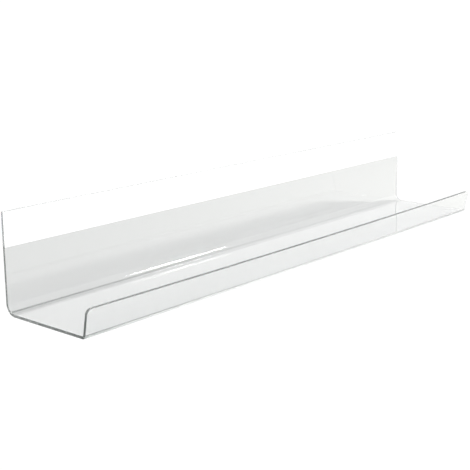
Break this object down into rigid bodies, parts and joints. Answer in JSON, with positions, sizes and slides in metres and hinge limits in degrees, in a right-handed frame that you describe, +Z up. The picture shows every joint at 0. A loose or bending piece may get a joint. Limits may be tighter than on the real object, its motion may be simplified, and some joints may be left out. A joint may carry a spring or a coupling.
{
  "type": "plate display ledge",
  "caption": "Clear bent-acrylic ledge with a tall back, a flat shelf and a low flared front lip, for standing plates and flat exhibits.",
  "frame": {"origin": "centre of the bounding box, on the flat underside of the shelf", "axes": "+X along the ledge, +Y towards the rear face of the back, +Z up"},
  "size_m": [0.762, 0.1324, 0.1115],
  "materials": {
    "clear_acrylic": "clear polished acrylic sheet, with glossy faces and slightly matt cut edges"
  },
  "bodies": {
    "root": {"acrylic_ledge": "clear_acrylic"}
  },
  "joints": []
}
